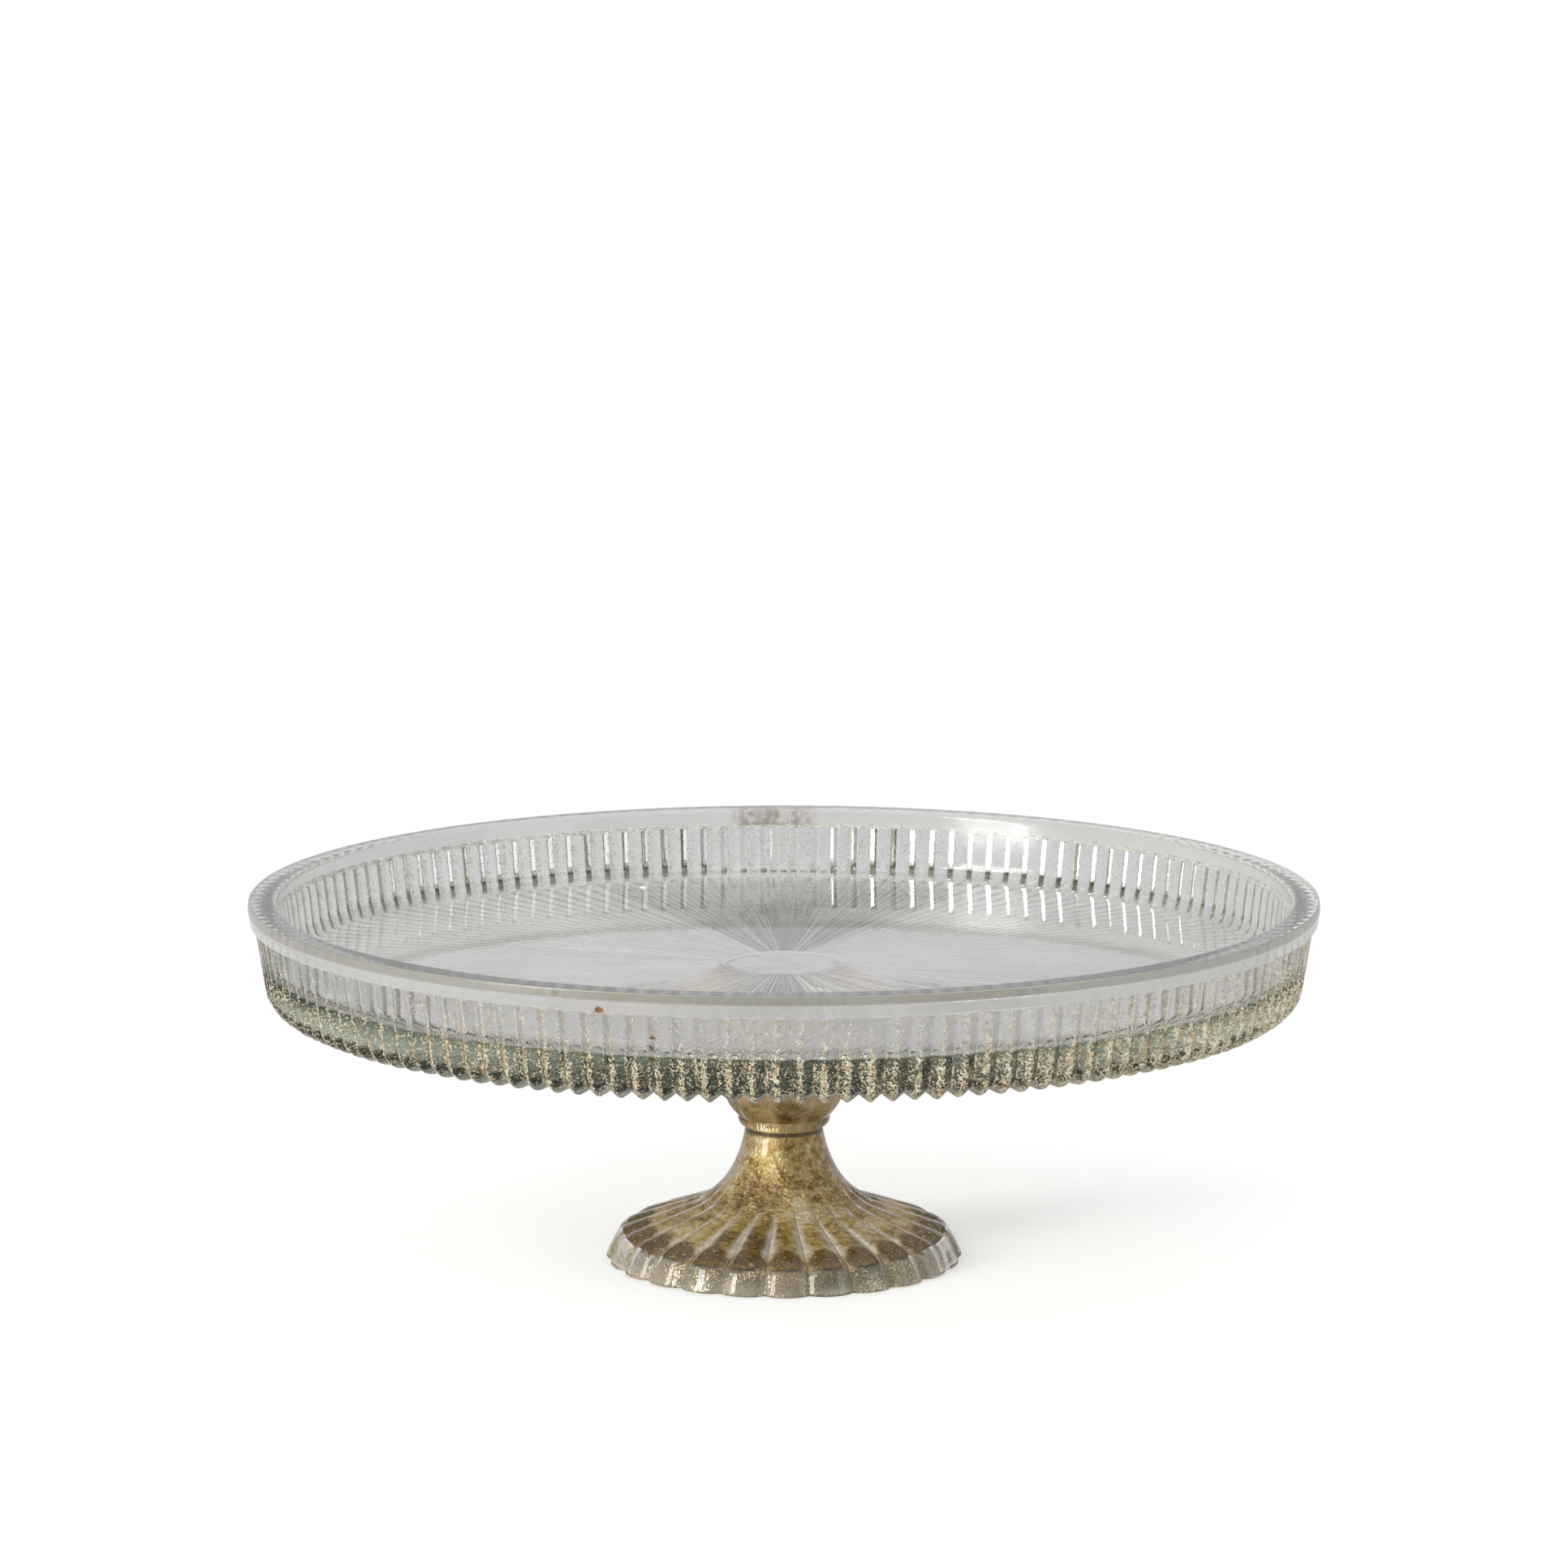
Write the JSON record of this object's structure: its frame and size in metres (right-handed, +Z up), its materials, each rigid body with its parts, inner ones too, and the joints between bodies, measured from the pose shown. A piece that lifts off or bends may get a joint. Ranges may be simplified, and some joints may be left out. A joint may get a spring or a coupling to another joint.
{
  "type": "cake stand",
  "caption": "Footed glass cake stand: round plate with a raised ribbed rim on a short trumpet-shaped pedestal with a gilded hollow.",
  "frame": {"origin": "on the ground under the middle of the foot", "axes": "+Z up along the stand's axis; -Y is the front"},
  "size_m": [0.32, 0.32, 0.1115],
  "materials": {
    "plate_glass": "clear pressed glass with gold flakes on the outside",
    "pedestal_glass": "clear pressed glass",
    "gilding": "antique gold leaf, mottled",
    "adhesive": "clear cured adhesive"
  },
  "bodies": {
    "root": {"plate": "plate_glass", "pedestal": "pedestal_glass", "pedestal_gilding": "gilding", "bond": "adhesive"}
  },
  "joints": []
}
